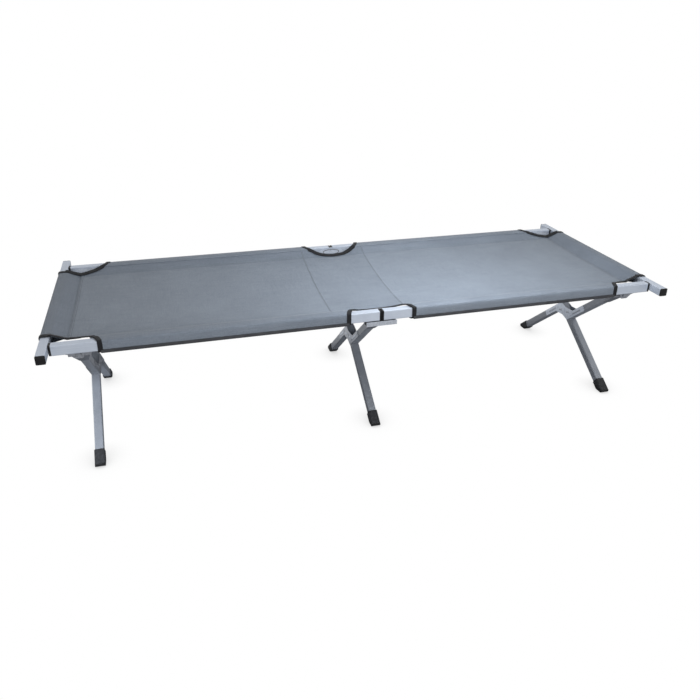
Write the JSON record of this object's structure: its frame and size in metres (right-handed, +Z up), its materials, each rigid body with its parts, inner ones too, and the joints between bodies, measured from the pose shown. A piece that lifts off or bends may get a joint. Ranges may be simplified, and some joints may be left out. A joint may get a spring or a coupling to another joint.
{
  "type": "folding camp bed",
  "caption": "Folding camp bed: a cloth stretched over jointed square-tube side rails and end bars, standing on crossed legs that close like scissors.",
  "frame": {"origin": "on the floor, midway between the ends and between the sides", "axes": "+X along the bed from head to foot, +Y from the near side to the far side, +Z up"},
  "size_m": [1.9022, 0.76, 0.4201],
  "materials": {
    "aluminium": "satin anodised",
    "pressed_steel": "zinc grey",
    "black_nylon": "fine grain",
    "cloth": "plain woven polyester"
  },
  "bodies": {
    "near_centre": {"near_centre_bracket": "pressed_steel", "cloth_middle": "cloth"},
    "far_centre": {"far_centre_bracket": "pressed_steel"},
    "near_left_half": {"near_rail_left": "aluminium", "near_joint_plug_left": "black_nylon", "near_end_cap_left": "black_nylon", "near_end_bracket_left": "pressed_steel", "cloth_left": "cloth"},
    "left_near_hanger": {"near_hanger_left": "pressed_steel"},
    "far_left_half": {"far_rail_left": "aluminium", "far_joint_plug_left": "black_nylon", "far_end_cap_left": "black_nylon", "far_end_bracket_left": "pressed_steel"},
    "left_far_hanger": {"far_hanger_left": "pressed_steel"},
    "near_right_half": {"near_rail_right": "aluminium", "near_joint_plug_right": "black_nylon", "near_end_cap_right": "black_nylon", "near_end_bracket_right": "pressed_steel", "cloth_right": "cloth"},
    "right_near_hanger": {"near_hanger_right": "pressed_steel"},
    "far_right_half": {"far_rail_right": "aluminium", "far_joint_plug_right": "black_nylon", "far_end_cap_right": "black_nylon", "far_end_bracket_right": "pressed_steel"},
    "right_far_hanger": {"far_hanger_right": "pressed_steel"},
    "left_split": {"left_split_leg_upper": "aluminium", "left_split_leg_lower": "aluminium", "left_cross_plate_a": "pressed_steel", "left_cross_plate_b": "pressed_steel", "left_near_leg_yoke": "pressed_steel", "left_far_foot": "black_nylon"},
    "left_straight": {"left_straight_leg": "aluminium", "left_near_foot": "black_nylon", "left_far_leg_yoke": "pressed_steel"},
    "middle_split": {"middle_split_leg_upper": "aluminium", "middle_split_leg_lower": "aluminium", "middle_cross_plate_a": "pressed_steel", "middle_cross_plate_b": "pressed_steel", "middle_near_leg_yoke": "pressed_steel", "middle_far_foot": "black_nylon"},
    "middle_straight": {"middle_straight_leg": "aluminium", "middle_near_foot": "black_nylon", "middle_far_leg_yoke": "pressed_steel"},
    "right_split": {"right_split_leg_upper": "aluminium", "right_split_leg_lower": "aluminium", "right_cross_plate_a": "pressed_steel", "right_cross_plate_b": "pressed_steel", "right_near_leg_yoke": "pressed_steel", "right_far_foot": "black_nylon"},
    "right_straight": {"right_straight_leg": "aluminium", "right_near_foot": "black_nylon", "right_far_leg_yoke": "pressed_steel"},
    "head_bar": {"head_bar": "aluminium", "head_bar_plug_near": "black_nylon", "head_bar_plug_far": "black_nylon", "head_sleeve": "cloth"},
    "foot_bar": {"foot_bar": "aluminium", "foot_bar_plug_near": "black_nylon", "foot_bar_plug_far": "black_nylon", "foot_sleeve": "cloth"}
  },
  "joints": [
    {"name": "spread", "type": "hinge", "parent": "near_centre", "child": "middle_split", "pos_m": [0, -0.268, 0.373], "axis": [-1, 0, 0], "range_deg": [0, 52.5], "deforming": ["cloth_left", "cloth_middle", "cloth_right", "head_sleeve", "foot_sleeve"]},
    {"name": "middle_cross", "type": "hinge", "parent": "middle_split", "child": "middle_straight", "pos_m": [0, 0, 0.19385], "axis": [-1, 0, 0], "range_deg": [-105, 0]},
    {"name": "middle_far_hinge", "type": "hinge", "parent": "middle_straight", "child": "far_centre", "pos_m": [0, 0.268, 0.373], "axis": [-1, 0, 0], "range_deg": [0, 52.5]},
    {"name": "left_fold", "type": "hinge", "parent": "near_centre", "child": "near_left_half", "pos_m": [-0.041, -0.3125, 0.382], "axis": [0, -1, 0], "range_deg": [0, 90]},
    {"name": "left_fold_far", "type": "hinge", "parent": "far_centre", "child": "far_left_half", "pos_m": [-0.041, 0.3125, 0.382], "axis": [0, -1, 0], "range_deg": [0, 90]},
    {"name": "left_swing", "type": "hinge", "parent": "near_left_half", "child": "left_near_hanger", "pos_m": [-0.855, -0.286, 0.373], "axis": [0, -1, 0], "range_deg": [0, 90]},
    {"name": "left_spread", "type": "hinge", "parent": "left_near_hanger", "child": "left_split", "pos_m": [-0.855, -0.268, 0.373], "axis": [-1, 0, 0], "range_deg": [0, 52.5]},
    {"name": "left_cross", "type": "hinge", "parent": "left_split", "child": "left_straight", "pos_m": [-0.855, 0, 0.19385], "axis": [-1, 0, 0], "range_deg": [-105, 0]},
    {"name": "left_far_hinge", "type": "hinge", "parent": "left_straight", "child": "left_far_hanger", "pos_m": [-0.855, 0.268, 0.373], "axis": [-1, 0, 0], "range_deg": [0, 52.5]},
    {"name": "right_fold", "type": "hinge", "parent": "near_centre", "child": "near_right_half", "pos_m": [0.041, -0.3125, 0.382], "axis": [0, 1, 0], "range_deg": [0, 90]},
    {"name": "right_fold_far", "type": "hinge", "parent": "far_centre", "child": "far_right_half", "pos_m": [0.041, 0.3125, 0.382], "axis": [0, 1, 0], "range_deg": [0, 90]},
    {"name": "right_swing", "type": "hinge", "parent": "near_right_half", "child": "right_near_hanger", "pos_m": [0.855, -0.286, 0.373], "axis": [0, 1, 0], "range_deg": [0, 90]},
    {"name": "right_spread", "type": "hinge", "parent": "right_near_hanger", "child": "right_split", "pos_m": [0.855, -0.268, 0.373], "axis": [-1, 0, 0], "range_deg": [0, 52.5]},
    {"name": "right_cross", "type": "hinge", "parent": "right_split", "child": "right_straight", "pos_m": [0.855, 0, 0.19385], "axis": [-1, 0, 0], "range_deg": [-105, 0]},
    {"name": "right_far_hinge", "type": "hinge", "parent": "right_straight", "child": "right_far_hanger", "pos_m": [0.855, 0.268, 0.373], "axis": [-1, 0, 0], "range_deg": [0, 52.5]},
    {"name": "head_bar_pull", "type": "slide", "parent": "near_left_half", "child": "head_bar", "axis": [-1, 0, 0], "range_m": [0, 0.03]},
    {"name": "foot_bar_pull", "type": "slide", "parent": "near_right_half", "child": "foot_bar", "axis": [1, 0, 0], "range_m": [0, 0.03]}
  ],
  "couplings": [
    {"joint": "middle_cross", "follows": "spread", "ratio": -2},
    {"joint": "middle_far_hinge", "follows": "spread", "ratio": 1},
    {"joint": "left_fold_far", "follows": "left_fold", "ratio": 1},
    {"joint": "left_spread", "follows": "spread", "ratio": 1},
    {"joint": "left_cross", "follows": "spread", "ratio": -2},
    {"joint": "left_far_hinge", "follows": "spread", "ratio": 1},
    {"joint": "right_fold_far", "follows": "right_fold", "ratio": 1},
    {"joint": "right_spread", "follows": "spread", "ratio": 1},
    {"joint": "right_cross", "follows": "spread", "ratio": -2},
    {"joint": "right_far_hinge", "follows": "spread", "ratio": 1}
  ]
}
